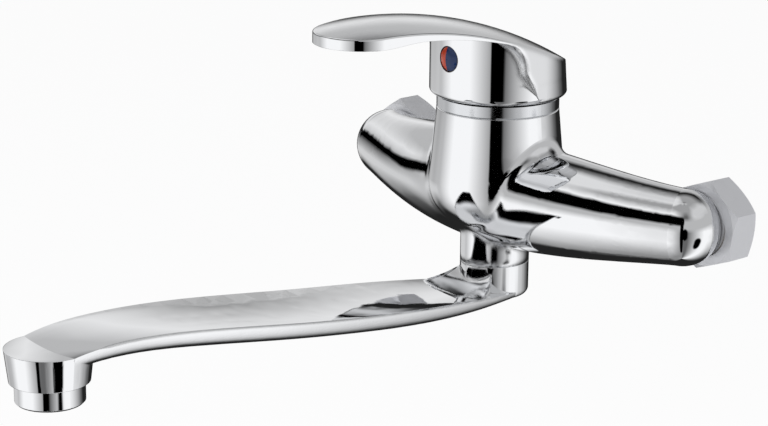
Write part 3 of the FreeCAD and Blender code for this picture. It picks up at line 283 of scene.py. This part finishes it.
def indicator_plastic():
    """Two-colour acrylic button, red for hot on the left and blue for cold on the right, printed
    under a clear dome: the colours sit deep under a sharp highlight. Past the edge of the print, a
    thin dark rim round the button is painted shade."""
    # The third colour is painted shade for a thin dark ring round the button's edge, past the print.
    hot, cold, rim_shade_colour = linear("#CE4A2C"), linear("#123060"), linear("#2A1D20")
    split, split_end = -0.9, -0.5
    print_edge, rim = 3.9, 4.2
    material, tree, shader = finish("hot_cold_acrylic", "#C24A32", 0.18, IOR=1.49,
                                    Specular_IOR_Level=0.2, Coat_Weight=0.35,
                                    Coat_Roughness=0.03, Coat_IOR=1.49)
    centre = tuple((a + b) / 2 for a, b in zip(*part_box("indicator_button")))
    place = object_place(tree, centre=centre)
    parts = add(tree, "SeparateXYZ", [place])
    x, z = parts.outputs["X"], parts.outputs["Z"]
    on_cold = add(tree, "MapRange", [x, split * MM, split_end * MM, 0.0, 1.0])
    halves = add(tree, "Mix", {"Factor": on_cold, "A": hot, "B": cold}, data_type="RGBA")
    from_middle = add(tree, "CombineXYZ", {"X": x, "Z": z})
    radius = add(tree, "VectorMath", [from_middle], operation="LENGTH")
    # Mask of the painted shade: a thin ring round the button's edge, beyond the print.
    painted_rim_shade = add(tree, "MapRange", [radius, print_edge * MM, rim * MM, 0.0, 1.0])
    waviness = add(tree, "TexNoise", {"Vector": place, "Scale": blob(2.5)})
    plug(tree, shader, {
        "Base Color": add(tree, "Mix", {"Factor": painted_rim_shade, "A": halves, "B": rim_shade_colour},
                          data_type="RGBA"),
        "Normal": add(tree, "Bump", {"Height": waviness, "Distance": 0.004 * MM})})
    return material


body_chrome = polished_chrome("polished_chrome_on_cast_brass", 26.0, 0.05, blend=ARM_ROOTS)
spout_chrome = polished_chrome("polished_chrome_on_cast_spout", 11.0, 0.05, (1.0, 0.1, 1.0),
                               blend=SPOUT_SIDES, crown=1.15)
handle_chrome = polished_chrome("polished_chrome_on_zinc_lever", 30.0, 0.03, blend=LEVER_WEB,
                                brushed=True)
small_chrome = polished_chrome("polished_chrome_on_turned_brass", 20.0, 0.02)
ring_chrome = satin_chrome()
nut_chrome = barrel_plated_nut()
brass = machined_brass()
steel = stainless_steel()
rubber = epdm_rubber()
ceramic = lapped_ceramic()
cartridge_plastic = moulded_plastic("glass_filled_nylon", "#D9D7CF", "#CBC8BE", 0.5, 0.6)
slide_plastic = moulded_plastic("white_acetal", "#EEEDE8", "#E4E2DA", 0.38, 0.9)
sieve_plastic = moulded_plastic("grey_acetal", "#B9BDBF", "#A9ADB0", 0.42, 0.8)
button_plastic = indicator_plastic()

FINISHES = {
    "mixer_body": body_chrome,
    "spout": spout_chrome,
    "handle": handle_chrome,
    "aerator_housing": small_chrome,
    "trim_ring": ring_chrome,
    "union_nut_left": nut_chrome,
    "union_nut_right": nut_chrome,
    "inlet_nipple_left": brass,
    "inlet_nipple_right": brass,
    "cartridge_nut": brass,
    "stem_pin": steel,
    "handle_screw": steel,
    "spout_screw": steel,
    "union_washer_left": rubber,
    "union_washer_right": rubber,
    "base_seals": rubber,
    "spout_o_rings": rubber,
    "aerator_washer": rubber,
    "fixed_disc": ceramic,
    "moving_disc": ceramic,
    "cartridge_base": cartridge_plastic,
    "disc_carrier": cartridge_plastic,
    "cartridge_turret": cartridge_plastic,
    "cartridge_housing": cartridge_plastic,
    "cartridge_stem": cartridge_plastic,
    "spout_slide_ring": slide_plastic,
    "aerator_insert": sieve_plastic,
    "indicator_button": button_plastic,
}
for name, material in FINISHES.items():
    mesh = nodes[name].data
    mesh.materials.clear()
    mesh.materials.append(material)


# Studio: a dim room with soft boxes and black cards, which only the metal sees

FRONT = 45              # azimuth that the studio faces, near the camera's
ROOM = 0.15             # brightness of the bare room
MATT_SHARE = 0.8        # brightness of the even light on matt surfaces

# Each runs from one direction to another, as bearing (0 toward the camera, 90 toward its right) and
# elevation, with its half width and soft edge in degrees and its brightness. A later one stands in
# front of an earlier one.
STUDIO = [
    ((295, -90), (295, 90), 42, 24, 1.12),  # tall soft box, left of the camera
    ((235, -80), (345, -80), 25, 22, 0.3),  # its foot is dimmer
    ((69, -90), (69, 90), 33, 25, 1.12),    # tall soft box, right of the camera
    ((171, -90), (171, 90), 37, 6, 0.02),   # unlit wall behind the tap
    ((0, 72), (360, 72), 17, 8, 0.4),       # dim ceiling
    ((220, 60), (262, 64), 20, 10, 0.85),   # overhead box, left
    ((55, 50), (95, 45), 18, 10, 0.7),      # overhead box, right
    ((0, 20), (360, 20), 16, 6, 0.56),      # light band all round, which lights flat tops
    ((180, 12), (238, 16), 5, 5, 0.9),      # brighter behind the tap
    ((213, -17), (240, -17), 8, 6, 0.72),   # low soft box, far left
    ((183, -46), (220, -52), 18, 5, 0.02),  # dark floor behind
    ((360, -14), (360, 0), 8, 1, 0.0),      # black card in front: its left half, with a crisp edge
    ((0, -14), (0, 0), 11, 2, 0.0),         # its right half, wider and softer
    ((353, -60), (353, 30), 5, 1, 0.0),     # its stand
    ((44, -38), (44, -28), 11, 2, 0.0),     # low black card, right
    ((211, 3), (240, 1), 4, 1.5, 0.0),      # black border that rises round the left box
    ((240, 1), (283, 32), 6, 2, 0.0),
    ((283, 32), (350, 32), 13, 3, 0.0),
]


def studio_world():
    """The metal mirrors the studio, the camera sees plain white, and matt surfaces are lit
    evenly."""
    world = bpy.data.worlds.new("studio")
    bpy.context.scene.world = world
    world.use_nodes = True
    tree = world.node_tree
    tree.nodes.clear()

    def near_line(place, start, end, half, soft):
        """1 near the line between two directions, falling to 0 over soft degrees each way."""
        start, end = Vector((*start, 0)), Vector((*end, 0))
        run = end - start
        offset = add(tree, "VectorMath", [place, start], operation="SUBTRACT")
        reach = add(tree, "VectorMath", [offset, run], operation="DOT_PRODUCT")
        share = add(tree, "Math", [reach, run.length_squared], operation="DIVIDE", use_clamp=True)
        foot = add(tree, "VectorMath", {0: run, "Scale": share}, operation="SCALE")
        gap = add(tree, "VectorMath", [offset, foot], operation="DISTANCE")
        return add(tree, "MapRange", [gap, half - soft, half + soft, 1.0, 0.0])

    way = add(tree, "SeparateXYZ", [add(tree, "TexCoord").outputs["Generated"]])
    x, y, z = (way.outputs[axis] for axis in "XYZ")
    left = add(tree, "Math", [x, -1.0], operation="MULTIPLY")
    turned = add(tree, "Math", [left, y], operation="ARCTAN2")
    degrees = add(tree, "Math", [turned], operation="DEGREES")
    from_front = add(tree, "Math", [degrees, FRONT - 180], operation="SUBTRACT")
    bearing = add(tree, "Math", [from_front, 360.0], operation="WRAP")
    rise = add(tree, "Math", [z], operation="ARCSINE")
    elevation = add(tree, "Math", [rise], operation="DEGREES")
    place = add(tree, "CombineXYZ", {"X": bearing, "Y": elevation})

    light = ROOM
    for start, end, half, soft, brightness in STUDIO:
        light = add(tree, "Mix", {"Factor": near_line(place, start, end, half, soft),
                                  "A": light, "B": brightness})

    ray = add(tree, "LightPath")
    seen = add(tree, "Mix", {"Factor": ray.outputs["Is Glossy Ray"], "A": 1.0, "B": light})
    share = add(tree, "MapRange", [ray.outputs["Is Diffuse Ray"], 0.0, 1.0, 1.0, MATT_SHARE])
    strength = add(tree, "Math", [seen, share], operation="MULTIPLY")
    background = add(tree, "Background", {"Color": (1.0, 1.0, 1.0, 1.0), "Strength": strength})
    add(tree, "OutputWorld", {"Surface": background})


def studio_floor():
    """A plain pale floor well below the tap, which hangs on a wall. It keeps a soft shadow, shows
    mostly as white, and is clear from below."""
    drop, radius = 0.32, 9.0
    white_share = 0.85
    mesh = bpy.data.meshes.new("floor")
    shape = bmesh.new()
    bmesh.ops.create_circle(shape, cap_ends=True, segments=96, radius=radius)
    bmesh.ops.translate(shape, vec=(0.0, 0.0, cad_box[0].z - drop), verts=shape.verts)
    shape.to_mesh(mesh)
    shape.free()
    floor = bpy.data.objects.new("floor", mesh)
    bpy.context.scene.collection.objects.link(floor)
    floor.visible_glossy = False
    material, tree, shader = finish("studio_paper", "#F7F7F8", 0.9)
    ray = add(tree, "LightPath")
    shows_white = add(tree, "Math", operation="MAXIMUM", inputs=[
        ray.outputs["Is Camera Ray"], ray.outputs["Is Transmission Ray"]])
    share = add(tree, "Math", [shows_white, white_share], operation="MULTIPLY")
    glow = add(tree, "Emission", {"Color": (1.0, 1.0, 1.0, 1.0), "Strength": 1.0})
    paper = add(tree, "MixShader", [share, shader, glow])
    below = add(tree, "NewGeometry").outputs["Backfacing"]
    both_sides = add(tree, "MixShader", [below, paper, add(tree, "BsdfTransparent")])
    plug(tree, tree.nodes["Material Output"], {"Surface": both_sides})
    mesh.materials.append(material)


def soft_lamp(name, place, aim, size, power):
    """A square soft box aimed at a point. It lights matt surfaces only, because the metal mirrors
    the studio's own boxes."""
    lamp = bpy.data.lights.new(name, "AREA")
    lamp.size = size
    lamp.energy = power
    holder = bpy.data.objects.new(name, lamp)
    holder.location = place
    holder.visible_glossy = False
    holder.rotation_mode = "QUATERNION"
    holder.rotation_quaternion = (Vector(aim) - Vector(place)).to_track_quat("-Z", "Y")
    bpy.context.scene.collection.objects.link(holder)


studio_world()
studio_floor()
middle = (cad_box[0] + cad_box[1]) / 2
soft_lamp("key", (-0.9, -1.2, 1.4), middle, size=0.9, power=9.0)


# Camera at the photograph's viewpoint, found by fitting the tap's edges to the picture

CAMERA_PLACE = (0.5892, -0.6013, 0.22195)
AZIMUTH, ELEVATION, ROLL = 48.739, 15.741, 0.529    # degrees
LENS, SENSOR = 114.76, 36.0                         # mm, for a picture of 768 by 426


def photo_camera():
    """The photograph's own view. Azimuth 0 looks along +Y, and 90 looks along -X."""
    azimuth, elevation, roll = (math.radians(a) for a in (AZIMUTH, ELEVATION, ROLL))
    right = Vector((math.cos(azimuth), math.sin(azimuth), 0.0))
    back = Vector((math.sin(azimuth) * math.cos(elevation),
                   -math.cos(azimuth) * math.cos(elevation),
                   math.sin(elevation)))
    up = back.cross(right)
    axes = (right * math.cos(roll) + up * math.sin(roll),
            up * math.cos(roll) - right * math.sin(roll),
            back)
    data = bpy.data.cameras.new("camera")
    data.sensor_width = SENSOR
    data.lens = LENS
    data.clip_start = 0.05
    camera = bpy.data.objects.new("camera", data)
    camera.matrix_world = Matrix.LocRotScale(Vector(CAMERA_PLACE), Matrix(axes).transposed(), None)
    bpy.context.scene.collection.objects.link(camera)
    bpy.context.scene.camera = camera


photo_camera()
bpy.context.scene.view_settings.view_transform = "Standard"
